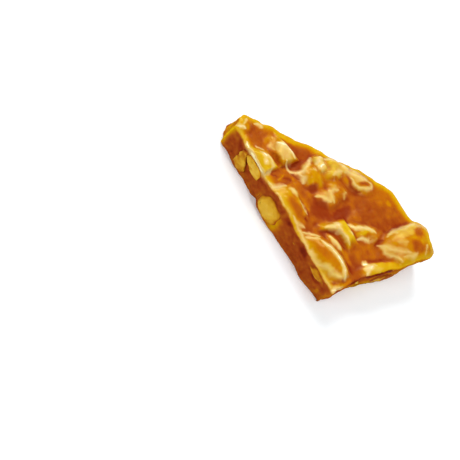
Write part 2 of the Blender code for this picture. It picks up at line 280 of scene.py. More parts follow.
    # Folds whose cream reaches 1 or more are painted white glints, the cream of the other ridges is partly a
    # painted highlight, and the dark grooves are partly painted shade.
    folds: tuple[Fold, ...] = (
        # the tip
        Fold(((-20.7, -13.4), (-20.2, -12.7), (-19.4, -12.3)), 0.62, 0.1, 0.85, 0.95),
        Fold(((-20.5, -12.2), (-21.2, -10.9)), 0.45, 0.05, 0.85, 0.6),
        Fold(((-19.6, -9.2), (-18.9, -8.6), (-18.2, -8.2)), 0.5, 0.1, 0.75, 0.75),
        # two glazed chunks behind the tip, the second one at the front rim
        Fold(((-13.9, -7.2), (-12.6, -6.3), (-11.0, -5.8), (-9.3, -5.4)), 0.8, 0.03, 0.95, 0.98),
        Fold(((-14.6, -9.4), (-13.4, -10.2)), 1.0, 0.0, 0.5),
        Fold(((-14.4, -8.6), (-13.6, -9.0), (-12.8, -8.9)), 0.5, 0.06, 0.74, 0.3),
        Fold(((-12.6, -8.4), (-10.0, -8.4)), 0.5, 0.05, 0.7, 0.35),
        Fold(((-13.5, -12.3), (-12.4, -11.5), (-11.0, -11.1), (-9.8, -11.4), (-9.2, -12.3)),
             0.5, 0.05, 0.95, 0.7),
        Fold(((-9.0, -12.3), (-8.9, -14.1)), 0.5, 0.1, 0.9, 0.7),
        Fold(((-12.6, -12.0), (-12.1, -11.8)), 0.7, 0.12, 1.0, 1.0),
        Fold(((-11.1, -12.2), (-11.0, -12.7)), 0.5, 0.1, 1.0, 1.0),
        Fold(((-15.2, -12.2), (-13.7, -11.0)), 0.45, 0.15, 0.6, 0.6),
        Fold(((-13.9, -9.8), (-12.5, -9.3), (-11.4, -9.1), (-10.0, -9.3), (-8.3, -9.2)), 0.4, -0.08, 0.28),
        # the front rim, with a painted highlight line along it
        Fold(((-17.0, -13.5), (-16.0, -13.65), (-14.4, -14.0)), 0.3, 0.04, 0.95, 1.15),
        Fold(((-7.2, -14.1), (-5.7, -13.6), (-5.1, -12.4), (-5.0, -10.8)), 0.7, 0.15, 0.8, 0.7),
        Fold(((-4.6, -13.8), (-2.0, -13.9), (0.6, -13.8)), 0.32, 0.05, 0.7, 0.5),
        Fold(((1.6, -13.4), (3.5, -13.45), (6.0, -13.6), (8.8, -13.8)), 0.42, 0.08, 0.8, 0.6),
        Fold(((2.2, -13.6), (4.6, -12.2)), 0.5, 0.15, 0.6, 0.5),
        Fold(((9.6, -13.6), (10.5, -14.0)), 0.5, 0.1, 0.8, 0.7),
        Fold(((18.7, -14.0), (19.1, -12.6), (19.4, -11.4)), 1.1, 0.08, 0.95, 1.0),
        # the bright knot of small chunks at the back rim
        Fold(((-7.8, -1.5), (-7.1, -3.0), (-6.3, -4.8), (-6.2, -6.4), (-7.3, -7.5), (-9.2, -7.9)),
             0.55, 0.3, 0.7, 0.85),
        Fold(((-6.3, -6.4), (-4.9, -6.0), (-3.9, -6.6)), 0.6, 0.25, 0.7, 0.7),
        Fold(((-6.9, -7.6), (-5.9, -7.0), (-4.7, -6.8)), 0.45, -0.2, 0.15),
        Fold(((-5.3, -0.5), (-5.1, -1.2)), 0.7, 0.12, 1.0, 1.2),
        Fold(((-7.1, 0.7), (-6.0, 1.5), (-5.0, 2.4)), 0.5, 0.05, 0.95, 0.5),
        Fold(((-7.3, 0.5), (-6.3, -1.0), (-5.9, -1.8)), 0.65, 0.15, 0.9, 0.85),
        Fold(((-3.3, 4.0), (-2.6, 4.6)), 0.8, 0.15, 0.9, 0.75),
        Fold(((-2.3, 3.3), (-2.6, 1.9), (-2.2, 0.6)), 0.55, 0.15, 0.8, 0.6),
        Fold(((-5.7, -3.4), (-4.5, -2.8)), 0.4, 0.1, 0.7, 0.45),
        Fold(((-8.4, -12.2), (-6.8, -10.4), (-5.4, -8.4), (-4.6, -8.0)), 0.6, -0.25, 0.14),
        Fold(((-7.4, -9.6), (-6.6, -11.6)), 0.5, 0.1, 0.58),
        # the looped chunk and the streaks in the middle
        Fold(((-1.9, 4.4), (0.0, 5.8), (1.6, 7.4)), 1.1, 0.1, 0.8, 0.65),
        Fold(((1.8, 7.9), (3.0, 8.7), (3.8, 8.0), (3.6, 6.5), (2.8, 5.3), (1.6, 4.6), (0.0, 4.4)),
             0.5, 0.2, 0.7, 0.6),
        Fold(((1.9, 6.2), (2.6, 7.3)), 0.75, -0.1, 0.16),
        Fold(((-0.8, 4.0), (1.0, 3.8), (2.6, 4.0), (3.8, 5.0)), 0.5, -0.2, 0.16),
        Fold(((0.8, 0.3), (0.1, -0.5), (0.3, -1.7), (1.6, -2.5), (2.7, -2.1)), 0.6, 0.15, 0.7, 0.5),
        Fold(((2.4, -2.8), (1.2, -4.1), (0.0, -5.5)), 0.6, 0.2, 0.7, 0.6),
        Fold(((1.9, 2.1), (2.3, 1.1), (3.3, 0.6)), 0.5, 0.1, 0.6, 0.3),
        Fold(((-5.6, -7.9), (-3.6, -8.6), (-1.0, -9.0), (2.0, -8.9)), 1.0, 0.0, 0.6),
        # the swell at the middle of the front rim
        Fold(((-3.4, -10.1), (-3.0, -10.0)), 0.8, 0.1, 0.9, 0.8),
        Fold(((-0.7, -9.9), (1.0, -10.1), (2.4, -9.8)), 0.5, 0.15, 0.8, 0.7),
        Fold(((3.2, -10.9), (3.6, -10.8)), 0.8, -0.3, 0.06),
        # the facetted chunk with a yellow side
        Fold(((7.1, -4.6), (7.2, -6.0), (6.6, -7.6)), 0.9, 0.0, 0.9, 0.8),
        Fold(((7.4, -4.9), (8.3, -5.3)), 0.7, 0.0, 0.9, 0.85),
        Fold(((5.5, -8.7), (6.0, -7.2), (6.4, -5.4)), 0.5, 0.0, 0.66),
        Fold(((8.2, -5.0), (9.6, -4.8), (12.2, -4.7)), 0.35, 0.03, 0.95, 0.8),
        Fold(((10.4, -2.9), (10.7, -3.0)), 0.5, 0.1, 1.0, 0.9),
        Fold(((7.3, -8.6), (8.2, -7.2), (9.6, -6.4), (12.4, -6.0)), 0.5, -0.15, 0.28),
        # the bump behind it
        Fold(((8.4, -2.3), (9.6, -1.2), (10.1, 0.3), (11.2, 1.8), (12.8, 2.8)), 0.65, 0.05, 0.9, 0.85),
        Fold(((13.5, 2.8), (13.5, 1.2), (12.8, -0.6), (12.1, -2.1)), 0.42, 0.1, 0.85, 0.75),
        # the almond at the front right
        Fold(((8.8, -10.4), (11.0, -9.6), (13.5, -9.1), (16.0, -9.3), (18.3, -10.0)), 0.8, 0.06, 0.95, 1.0),
        Fold(((9.0, -13.8), (12.0, -13.9), (14.6, -13.0), (16.8, -11.4), (18.3, -10.1)),
             0.7, 0.03, 0.8, 0.45),
        Fold(((15.2, -13.9), (16.8, -13.2), (17.6, -12.0)), 0.8, 0.0, 0.6),
        Fold(((8.9, -7.9), (10.2, -7.4), (11.9, -7.2)), 0.75, 0.1, 0.85, 0.75),
        Fold(((5.4, -13.2), (6.2, -11.8), (7.4, -10.6), (8.1, -9.8)), 0.45, 0.12, 0.78, 0.6),
        Fold(((6.6, -12.9), (7.6, -11.8), (8.4, -10.3)), 0.45, 0.15, 0.7, 0.55),
        Fold(((18.7, -9.8), (18.0, -11.4), (17.5, -13.4)), 0.6, -0.2, 0.14),
        # the high lobe at the wide end
        Fold(((14.4, 5.0), (14.3, 6.6), (14.5, 9.0), (14.8, 11.4), (14.9, 13.2)), 0.5, 0.03, 0.95, 0.7),
        Fold(((15.8, 2.4), (17.4, 3.9), (19.0, 5.6), (19.8, 7.2)), 0.75, 0.03, 0.7, 0.5),
        Fold(((16.6, 6.0), (17.8, 7.6)), 0.7, 0.0, 0.64, 0.25),
        Fold(((20.2, 5.6), (20.9, 7.2), (20.6, 8.6)), 0.7, 0.0, 0.7, 0.45),
        Fold(((15.0, 2.3), (17.4, 2.4), (19.0, 3.7), (20.6, 4.7)), 0.45, 0.1, 0.75, 0.5),
        Fold(((20.3, 12.0), (21.8, 10.7)), 0.35, 0.1, 0.7, 0.5),
        Fold(((20.6, 12.8), (21.6, 12.2)), 0.35, -0.1, 0.16),
        Fold(((14.6, 3.6), (14.5, 1.9)), 0.7, -0.2, 0.14),
        Fold(((13.4, 1.0), (13.3, 4.0), (13.4, 7.5)), 0.8, 0.0, 0.46),
        # the bare nut at the wide end's rim, with a painted white glint
        Fold(((17.1, -3.5), (17.5, -3.0)), 0.5, 0.12, 1.0, 1.2),
        Fold(((17.8, -2.6), (18.6, -1.4)), 0.45, 0.0, 0.9, 0.5),
        Fold(((18.4, -2.4), (19.0, -3.4), (19.4, -4.4)), 0.5, 0.1, 1.0, 0.9),
        Fold(((16.6, -2.6), (17.6, -0.6), (18.4, 1.0)), 0.5, -0.15, 0.2),
    )

    def oval_reach(self, oval: Swell | Tint, x: float, y: float) -> float:
        """How far out a place lies from an oval's centre.

        Args:
            oval: The oval.
            x: Place along the front wall.
            y: Place from front to back.

        Returns:
            0 at the centre and 1 on the oval's edge.
        """
        dx, dy = x - oval.centre[0], y - oval.centre[1]
        turn = math.radians(oval.yaw)
        along = (dx * math.cos(turn) + dy * math.sin(turn)) / oval.radii[0]
        across = (dy * math.cos(turn) - dx * math.sin(turn)) / oval.radii[1]
        return math.hypot(along, across)

    def past_facet(self, swell: Swell, facet: Facet, x: float, y: float) -> float:
        """How far past a facet's foot line a place lies; it is negative on the chunk's side.

        Args:
            swell: The chunk's swell.
            facet: The facet.
            x: Place along the front wall.
            y: Place from front to back.

        Returns:
            The distance along the facet's heading.
        """
        heading = math.radians(facet.heading)
        dx, dy = x - swell.centre[0], y - swell.centre[1]
        return dx * math.cos(heading) + dy * math.sin(heading) - facet.distance

    def fold_cover(self, fold: Fold, x: float, y: float) -> float:
        """How strongly a fold shows at a place.

        Args:
            fold: The fold.
            x: Place along the front wall.
            y: Place from front to back.

        Returns:
            1 on the fold's line, and 0 past its width or its ends.
        """
        legs = list(zip(fold.points, fold.points[1:]))
        lengths = [math.dist(*leg) for leg in legs]
        whole, run, nearest = sum(lengths), 0.0, (math.inf, 0.5)
        for ((ax, ay), (bx, by)), length in zip(legs, lengths):
            share = ((x - ax) * (bx - ax) + (y - ay) * (by - ay)) / (length * length)
            share = min(max(share, 0.0), 1.0)
            gap = math.hypot(x - ax - share * (bx - ax), y - ay - share * (by - ay))
            nearest = min(nearest, (gap, (run + share * length) / whole))
            run += length
        gap, place = nearest
        taper = 1.0
        if whole > 2 * fold.width:
            taper = 1 - self.end_taper * abs(2 * place - 1) ** self.taper_power
        taper *= 1 + self.uneven * wave((x, y, Layer.TAPER), self.uneven_span)
        return max(0.0, 1 - gap / (fold.width * self.fold_spread * taper)) ** self.fold_fade

    def warped(self, x: float, y: float) -> Flat:
        """A place moved a little, so that patches and folds get uneven borders.

        Args:
            x: Place along the front wall.
            y: Place from front to back.

        Returns:
            The moved place.
        """
        for span, share in ((self.warp_span, self.warp), (self.warp_span / 3, self.warp / 2)):
            spot = Vector((x, y, 0)) / span
            dx = share * noise.noise(spot + Vector((0, 0, Layer.WARP_X)))
            dy = share * noise.noise(spot + Vector((0, 0, Layer.WARP_Y)))
            x, y = x + dx, y + dy
        return x, y

    def covers(self, x: float, y: float) -> list[tuple[Fold, float]]:
        """The folds that reach a place, with how strongly each shows there.

        Args:
            x: Place along the front wall.
            y: Place from front to back.

        Returns:
            Each fold with its cover, in the order that they are laid.
        """
        x, y = self.warped(x, y)
        found = []
        for fold in self.folds:
            reach = fold.width * self.fold_spread * self.fold_reach
            along = [point[0] for point in fold.points]
            if min(along) - reach < x < max(along) + reach:
                cover = self.fold_cover(fold, x, y)
                if cover > 0:
                    found.append((fold, cover))
        return found

    def swell_height(self, swell: Swell, x: float, y: float) -> float:
        """Height of one swell's dome and facets above the underside.

        Args:
            swell: The swell.
            x: Place along the front wall.
            y: Place from front to back.

        Returns:
            The height.
        """
        reach = self.oval_reach(swell, x, y)
        height = self.thickness + swell.rise * (1 - reach ** self.drape_power)
        for facet in swell.facets:
            flat = self.thickness - facet.slope * self.past_facet(swell, facet, x, y)
            height = smooth_min(height, flat, self.facet_blend)
        return height

    def height(self, x: float, y: float) -> float:
        """Height of the poured top above the underside.

        Args:
            x: Place along the front wall.
            y: Place from front to back.

        Returns:
            The height.
        """
        height = self.thickness + self.sway * wave((x, y, Layer.SWAY), self.sway_span)
        height -= sum(soft_hollow(dent, (x, y)) for dent in self.dents)
        for swell in self.swells:
            height = smooth_max(height, self.swell_height(swell, x, y), self.blend)
        height += self.fold_relief * sum(fold.rise * cover for fold, cover in self.covers(x, y))
        rough = abs(wave((x, y, Layer.LUMP), self.lump_span)) - self.lump_level
        height += self.lump * self.lumpy(x, y) * rough
        return height + self.ripple * wave((x, y, Layer.RIPPLE), self.ripple_span)

    def lumpy(self, x: float, y: float) -> float:
        """How knobby the film is at a place: 1 over the small chunks and little in the pools.

        Args:
            x: Place along the front wall.
            y: Place from front to back.

        Returns:
            The knobbiness.
        """
        return max(self.pool_lump, max(
            swell.knobs * ease(self.lump_border - self.oval_reach(swell, x, y), self.lump_fade)
            for swell in self.swells))

    def look(self, x: float, y: float) -> Flat:
        """How much nut shows through the glaze, and how creamy the glaze is, with its painted highlights and
        glints.

        Args:
            x: Place along the front wall.
            y: Place from front to back.

        Returns:
            The tone, from 0, deep brown caramel, to 1, yellow nut; and the cream, from 0, clear, to 1,
            cream, where the cream is partly a painted highlight and values near 1 or above are painted white
            glints.
        """
        tone = self.base_tone + self.tone_drift * wave((x, y, Layer.TONE), self.tone_span)
        for swell in self.swells:
            cover = ease(self.swell_border - self.oval_reach(swell, x, y), self.swell_fade)
            for facet in swell.facets:
                cover *= ease(self.facet_border - self.past_facet(swell, facet, x, y), self.facet_fade)
            tone += (swell.tone - tone) * cover
        u, v = self.warped(x, y)
        spot = Vector((u, v, 0)) / self.fleck_span
        flecked = ease(noise.noise(spot) - self.fleck_from, self.fleck_fade)
        cream_and_glint = self.fleck * (self.lumpy(x, y) - self.pool_lump) * flecked
        tone += self.mottle * noise.noise(spot * self.mottle_scale + Vector((0, 0, Layer.MOTTLE)))
        tints = [(tint, ease(self.tint_border - self.oval_reach(tint, u, v), self.tint_fade))
                 for tint in self.tints]
        return lay_marks(tone, cream_and_glint, tints + self.covers(x, y))


@dataclass(frozen=True)
class BreakForm:
    """The line along which the piece broke out of the sheet, and the rough walls that stand on it."""

    front: tuple[Flat, ...] = (
        (-20.7, -14.2), (-9.0, -14.3), (-1.5, -14.1), (7.5, -14.3), (19.6, -14.3))
    wide_end: tuple[Flat, ...] = (
        (19.6, -14.3), (19.6, -11.0), (19.3, -8.6), (19.7, -4.4), (20.8, -0.2), (21.7, 3.6),
        (22.4, 8.0), (22.9, 13.0), (22.4, 14.2))
    back: tuple[Flat, ...] = (
        (22.4, 14.2), (21.0, 13.9), (19.3, 14.0), (17.3, 15.3), (15.6, 15.0), (14.1, 13.5), (6.4, 13.1),
        (3.4, 11.3), (1.4, 10.0), (-1.6, 7.9), (-3.8, 5.8), (-5.0, 3.9), (-9.6, 1.2), (-11.2, -0.4),
        (-12.7, -2.3), (-15.4, -4.7), (-18.3, -6.6), (-19.0, -7.7), (-20.3, -8.5), (-22.3, -10.7))
    tip: tuple[Flat, ...] = ((-22.3, -10.7), (-22.1, -12.4), (-20.7, -14.2))
    wander: float = 0.22
    wander_span: float = 2.4
    depth: float = 0.28
    span: float = 3.2
    finer_share: float = 0.5
    finer_scale: float = 2.1
    grit: float = 0.1
    grit_span: float = 0.8
    smoothings: int = 6
    dents: tuple[Dent, ...] = (
        Dent((-2.2, -14.2, 1.2), (5.2, 4.0, 3.2), -0.9),
        Dent((-6.4, -14.0, 0.4), (1.0, 4.0, 1.4), 0.8),
        Dent((18.4, -14.2, 0.0), (3.6, 3.0, 4.4), 0.8),
        Dent((21.2, 2.2, 5.3), (4.0, 5.6, 1.2), 1.1),
        Dent((22.8, 11.5, 0.0), (3.0, 3.5, 4.5), 1.0),
        Dent((-22.4, -8.8, 0.0), (2.2, 2.4, 4.4), -1.6),
        Dent((-3.0, 5.0, 3.4), (5.0, 5.0, 2.2), 0.7),
        Dent((-16.0, -5.3, 5.6), (4.0, 4.0, 1.8), -0.4),
        Dent((10.0, 12.8, 4.4), (3.6, 3.6, 1.9), 0.6),
    )

    def side(self, corners: tuple[Flat, ...], steps: int) -> list[Vector]:
        """Even places along one side.

        Args:
            corners: The side's corners in order.
            steps: How many steps the side is divided into.

        Returns:
            The places, both ends included.
        """
        spots = [Vector(corner) for corner in corners]
        lengths = [(b - a).length for a, b in zip(spots, spots[1:])]
        places, run, index = [], 0.0, 0
        for step in range(steps + 1):
            want = sum(lengths) * step / steps
            while index < len(lengths) - 1 and run + lengths[index] < want:
                run += lengths[index]
                index += 1
            places.append(spots[index].lerp(spots[index + 1], min(1.0, (want - run) / lengths[index])))
        return places

    def loop(self, columns: int, rows: int) -> list[tuple[Vector, Vector]]:
        """The whole break line, anticlockwise from the front left corner.

        Args:
            columns: Steps along the front and along the back.
            rows: Steps along each end.

        Returns:
            Each place with its outward direction.
        """
        spots = self.side(self.front, columns)[:-1] + self.side(self.wide_end, rows)[:-1]
        spots += self.side(self.back, columns)[:-1] + self.side(self.tip, rows)[:-1]
        count = len(spots)
        for _ in range(self.smoothings):
            spots = [(spots[i - 1] + spots[i] * 2 + spots[(i + 1) % count]) / 4 for i in range(count)]
        loop = []
        for i, spot in enumerate(spots):
            along = spots[(i + 2) % count] - spots[i - 2]
            outward = Vector((along.y, -along.x)).normalized()
            drift = self.wander * wave(spot.to_3d(), self.wander_span)
            loop.append((spot + outward * drift, outward))
        return loop

    def offset(self, point: Vector) -> float:
        """How far a wall stands out from the break line.

        Args:
            point: A point on the upright wall over the break line.

        Returns:
            The distance outward.
        """
        swing = wave(point, self.span) + self.finer_share * wave(point * self.finer_scale, self.span)
        grit = self.grit * wave(point, self.grit_span)
        return self.depth * swing + grit - sum(soft_hollow(dent, point) for dent in self.dents)


def wave(place: tuple[float, ...] | Vector, span: float) -> float:
    """Smooth noise from about -1 to 1, whose waves are about a span long."""
    return noise.noise(Vector(place) / span)


def lay_marks(tone: float, cream_and_glint: float, marks: Iterable[tuple[Tint | Fold | Stain, float]]) -> Flat:
    """Lays marks over a look, one after another.

    Args:
        tone: The tone under them.
        cream_and_glint: The cream, partly painted highlight and glint, under them.
        marks: Each mark with how strongly it shows.

    Returns:
        The tone and the cream, with its painted highlights and glints, with the marks on them.
    """
    for mark, cover in marks:
        tone += (mark.tone - tone) * cover
        cream_and_glint += (mark.cream_and_glint - cream_and_glint) * cover
    return tone, cream_and_glint


def smooth_max(first: float, second: float, blend: float) -> float:
    """The larger of two heights, rounded where they cross."""
    overlap = max(blend - abs(first - second), 0.0) / blend
    return max(first, second) + overlap * overlap * blend / 4


def smooth_min(first: float, second: float, blend: float) -> float:
    """The smaller of two heights, rounded where they cross."""
    return -smooth_max(-first, -second, blend)


def nearness(patch: Dent | Stain, point: tuple[float, ...] | Vector) -> float:
    """1 at the centre of a soft oval patch, fading to 0 outside it."""
    return math.exp(-sum(((p - c) / r) ** 2 for p, c, r in zip(point, patch.centre, patch.radii)))


def soft_hollow(dent: Dent, point: tuple[float, ...] | Vector) -> float:
    """How deep a dent is at a point."""
    return dent.depth * nearness(dent, point)


def bell(distance: float, span: float) -> float:
    """1 at no distance, with a round shoulder, fading to 0 well past the span."""
    return math.exp(-(distance / span) ** 2)


def fade(distance: float, span: float) -> float:
    """1 at no distance, fading steeply at first and slowly past the span."""
    return math.exp(-distance / span)


def ease(distance: float, width: float) -> float:
    """0 below zero, 1 past the width, and an S curve between them."""
    share = min(max(distance / width, 0.0), 1.0)
    return share * share * (3 - 2 * share)


# ---- Finishes

def srgb(red: int, green: int, blue: int) -> Colour:
    """A linear colour from its everyday 0 to 255 values."""
    linear = [((c / 255 + 0.055) / 1.055) ** 2.4 if c > 10 else c / 255 / 12.92 for c in (red, green, blue)]
    return (*linear, 1.0)


def grey(value: float) -> Colour:
    """A grey of a linear value."""
    return value, value, value, 1.0


class Nodes:
    """A material's node tree, with short calls to add and join its nodes."""

    def __init__(self, name: str) -> None:
        """Makes an empty material with a Principled shader.

        Args:
            name: The material's name.
        """
        self.material = bpy.data.materials.new(name)
        self.material.use_nodes = True
        self.tree = self.material.node_tree
        self.shader = self.tree.nodes["Principled BSDF"]

    def add(self, kind: str, **settings: object) -> bpy.types.Node:
        """Adds a node.

        Args:
            kind: The node's type name without its ShaderNode prefix.
            **settings: Properties to set on it.

        Returns:
            The node.
        """
        node = self.tree.nodes.new(f"ShaderNode{kind}")
        for name, value in settings.items():
            setattr(node, name, value)
        return node

    def join(self, source: Socket, target: Socket) -> None:
        """Links one socket to another."""
        self.tree.links.new(source, target)

    def attribute(self, name: str) -> Socket:
        """The value of a named attribute of the mesh."""
        return self.add("Attribute", attribute_name=name).outputs["Fac"]

    def noise(self, scale: float, detail: float = 2.0, squeeze: Solid = (1, 1, 1)) -> Socket:
        """A noise pattern that stays with the piece.

        Args:
            scale: How many blotches there are in a metre.
            detail: How much finer noise is added.
            squeeze: How much the pattern is packed together along each axis.

        Returns:
            The pattern's value, about 0.5 on average.
        """
        mapping = self.add("Mapping")
        mapping.inputs["Scale"].default_value = squeeze
        self.join(self.add("TexCoord").outputs["Object"], mapping.inputs["Vector"])
        pattern = self.add("TexNoise")
        pattern.inputs["Scale"].default_value = scale
        pattern.inputs["Detail"].default_value = detail
        self.join(mapping.outputs["Vector"], pattern.inputs["Vector"])
        return pattern.outputs["Fac"]

    def vary(self, source: Socket, pattern: Socket, share: float, way: Vary = Vary.ADDED) -> Socket:
        """Varies a value after a pattern.

        Args:
            source: The value.
            pattern: The pattern, 0.5 on average.
            share: How far the value varies between the pattern's ends.
            way: Whether the share is added to the value or is a share of the value itself.

        Returns:
            The varied value.
        """
        middle = 1.0 if way is Vary.SCALED else 0.0
        swing = self.add("Math", operation="MULTIPLY_ADD")
        self.join(pattern, swing.inputs[0])
        swing.inputs[1].default_value = share
        swing.inputs[2].default_value = middle - share / 2
        varied = self.add("Math", operation=way.value)
        self.join(source, varied.inputs[0])
        self.join(swing.outputs[0], varied.inputs[1])
        return varied.outputs[0]

    def ramp(self, source: Socket, stops: Stops) -> Socket:
        """Turns a value into a colour.

        Args:
            source: The value.
            stops: Pairs of a position and a colour.

        Returns:
            The colour.
        """
        ramp = self.add("ValToRGB")
        elements = ramp.color_ramp.elements
        while len(elements) < len(stops):
            elements.new(0.5)
        for element, (position, colour) in zip(elements, stops):
            element.position = position
            element.color = colour
        self.join(source, ramp.inputs["Fac"])
        return ramp.outputs["Color"]

    def blend(self, colour: Socket, other: Socket, share: Socket) -> Socket:
        """Blends a colour towards another one.

        Args:
            colour: The colour.
            other: The other colour.
            share: How far the blend goes, from 0 to 1.

        Returns:
            The blended colour.
        """
        mix = self.add("Mix", data_type="RGBA")
        self.join(share, mix.inputs["Factor"])
        self.join(colour, mix.inputs[6])
        self.join(other, mix.inputs[7])
        return mix.outputs[2]

    def bump(self, pattern: Socket, strength: float, height: float) -> None:
        """Adds relief to the shader's normal.

        Args:
            pattern: The relief's height, from 0 to 1.
            strength: How strongly it shows.
            height: How high it is, in metres.
        """
        bump = self.add("Bump")
        bump.inputs["Strength"].default_value = strength
        bump.inputs["Distance"].default_value = height
        self.join(pattern, bump.inputs["Height"])
        earlier = self.shader.inputs["Normal"].links
        if earlier:
            self.join(earlier[0].from_socket, bump.inputs["Normal"])
        self.join(bump.outputs["Normal"], self.shader.inputs["Normal"])

    def set(self, **values: object) -> None:
        """Sets the shader's own sockets, named with _ for a space."""
        for name, value in values.items():
            self.shader.inputs[name.replace("_", " ")].default_value = value


@dataclass(frozen=True)
class HardCaramel:
    """Glassy amber caramel whose colour follows the tone and the cream painted on its mesh; the cream is
    partly a painted highlight, and it turns white as painted glints at its highest.

    Blotches, specks, grain and grit are given by how many there are in a metre.
    """

    name: str = "amber_caramel"
    stops: Stops = (
        (0.00, srgb(136, 41, 4)),
        (0.08, srgb(143, 49, 6)),
        (0.15, srgb(148, 57, 8)),
        (0.30, srgb(166, 80, 12)),
        (0.46, srgb(183, 101, 6)),
        (0.62, srgb(192, 124, 0)),
        (0.80, srgb(202, 150, 2)),
        (1.00, srgb(212, 173, 24)),
    )
    cream: Colour = srgb(229, 203, 144)
    glint_white: Colour = srgb(255, 246, 206)
    glint_from: float = 0.8
    blotch: float = 0.24
    blotches: float = 520
    specks: float = 1700
    stretch: Solid = (0.6, 1.2, 1.0)
    cream_and_glint_grain: float = 900
    cream_and_glint_swing: float = 0.5
    roughness: Stops = ((0.1, grey(0.5)), (0.34, grey(0.28)), (0.6, grey(0.2)))
    gloss_blotches: float = 700
    gloss_swing: float = 0.3
    ior: float = 1.48
    specular: float = 0.2
    specular_tint: Colour = (1.0, 0.76, 0.3, 1)
    inner_light: float = 0.25
    inner_depth: float = 0.0012
    inner_radius: Solid = (1.0, 0.45, 0.12)
    grit: float = 1100
    grit_strength: float = 0.12
    grit_height: float = 0.0002

    def paint(self) -> Nodes:
        """Starts the material with the painted colour and the shader's own values.

        Returns:
            The material's nodes.
        """
        nodes = Nodes(self.name)
        tone = nodes.vary(nodes.attribute("tone"), nodes.noise(self.blotches, 3, self.stretch), self.blotch)
        tone = nodes.vary(tone, nodes.noise(self.specks, 2, self.stretch), self.blotch / 4)
        cream_and_glint = nodes.vary(nodes.attribute("cream_and_glint"), nodes.noise(self.cream_and_glint_grain, 3), self.cream_and_glint_swing,
                           Vary.SCALED)
        # Painted highlights and glints: the cream turns to white as the painted value nears its top.
        film = nodes.ramp(cream_and_glint, ((self.glint_from, self.cream), (1.0, self.glint_white)))
        colour = nodes.blend(nodes.ramp(tone, self.stops), film, cream_and_glint)
        nodes.join(colour, nodes.shader.inputs["Base Color"])
        nodes.set(IOR=self.ior, Specular_IOR_Level=self.specular, Specular_Tint=self.specular_tint,
                  Subsurface_Weight=self.inner_light, Subsurface_Scale=self.inner_depth,
                  Subsurface_Radius=self.inner_radius)
        return nodes

    def make(self) -> bpy.types.Material:
        """Makes the material of the poured top, glossier where the film is thin over a nut.

        Returns:
            The material.
        """
        nodes = self.paint()
        gloss = nodes.vary(nodes.attribute("tone"), nodes.noise(self.gloss_blotches, 2), self.gloss_swing)
        nodes.join(nodes.ramp(gloss, self.roughness), nodes.shader.inputs["Roughness"])
        nodes.bump(nodes.noise(self.grit, 2), self.grit_strength, self.grit_height)
        return nodes.material


@dataclass(frozen=True)
class BrokenCaramel(HardCaramel):
    """The same caramel where it snapped: duller, with faint ripples down the break."""

    name: str = "amber_caramel_break"
    stops: Stops = (
        (0.00, srgb(118, 36, 16)),
        (0.08, srgb(134, 46, 18)),
        (0.15, srgb(146, 56, 20)),
        (0.30, srgb(165, 77, 24)),
        (0.46, srgb(182, 101, 20)),
        (0.80, srgb(206, 150, 6)),
        (1.00, srgb(214, 172, 14)),
    )
    glint_white: Colour = srgb(255, 240, 180)
    blotch: float = 0.16
    roughness: Stops = ((0.3, grey(0.26)), (0.7, grey(0.42)))
    gloss_blotches: float = 900
    specular: float = 0.0
    specular_tint: Colour = (1.0, 0.6, 0.2, 1)
    inner_light: float = 0.08
    inner_depth: float = 0.0015
    grit: float = 500
    grit_strength: float = 0.3
    grit_height: float = 0.0003
    ripple_stretch: Solid = (1.0, 1.0, 0.35)

    def make(self) -> bpy.types.Material:
        """Makes the material of the fracture walls.

        Returns:
            The material.
        """
        nodes = self.paint()
        gloss = nodes.noise(self.gloss_blotches, 3)
        nodes.join(nodes.ramp(gloss, self.roughness), nodes.shader.inputs["Roughness"])
        nodes.bump(nodes.noise(self.grit, 3, self.ripple_stretch), self.grit_strength, self.grit_height)
        return nodes.material


@dataclass(frozen=True)
class BrokenNut:
    """Pale roasted nut, dull where it broke and amber where caramel clings to its border; its darkest
    colours also serve as painted shade.
    """

    stops: Stops = (
        (0.00, srgb(232, 190, 76)),
        (0.23, srgb(222, 172, 46)),
        (0.47, srgb(196, 130, 18)),
        (0.67, srgb(158, 74, 14)),
        (1.00, srgb(116, 34, 10)),
    )
    blotches: float = 600
    blotch: float = 0.23
    grit: float = 1500
    grit_strength: float = 0.18
    grit_height: float = 0.0002

    def make(self) -> bpy.types.Material:
        """Makes the material.

        Returns:
            The material.
        """
        nodes = Nodes("cream_nut")
        glaze = nodes.vary(nodes.attribute("glaze"), nodes.noise(self.blotches, 3), self.blotch)
        nodes.join(nodes.ramp(glaze, self.stops), nodes.shader.inputs["Base Color"])
        nodes.set(Roughness=0.65, IOR=1.46, Specular_IOR_Level=0.05, Specular_Tint=(1.0, 0.75, 0.4, 1),
                  Subsurface_Weight=0.15, Subsurface_Scale=0.0012, Subsurface_Radius=(1.0, 0.7, 0.3))
        nodes.bump(nodes.noise(self.grit, 4), self.grit_strength, self.grit_height)
        return nodes.material


@dataclass(frozen=True)
class PaleFloor:
    """A matt floor that glows a little, so that shadows on it stay pale."""

    colour: Colour = (0.89, 0.93, 0.955, 1)
    roughness: float = 0.9
    glow_colour: Colour = (0.93, 0.98, 1.0, 1)
    glow: float = 0.14

    def make(self) -> bpy.types.Material:
        """Makes the material.

        Returns:
            The material.
        """
        nodes = Nodes("pale_floor")
        nodes.set(Base_Color=self.colour, Roughness=self.roughness, Emission_Color=self.glow_colour,
                  Emission_Strength=self.glow)
        return nodes.material


# ---- Pieces

def add_object(name: str, data: bpy.types.ID) -> bpy.types.Object:
    """Puts a mesh, a light or a camera in the scene.

    Args:
        name: Its name.
        data: The mesh, light or camera.

    Returns:
        The object.
    """
    thing = bpy.data.objects.new(name, data)
    bpy.context.scene.collection.objects.link(thing)
    return thing


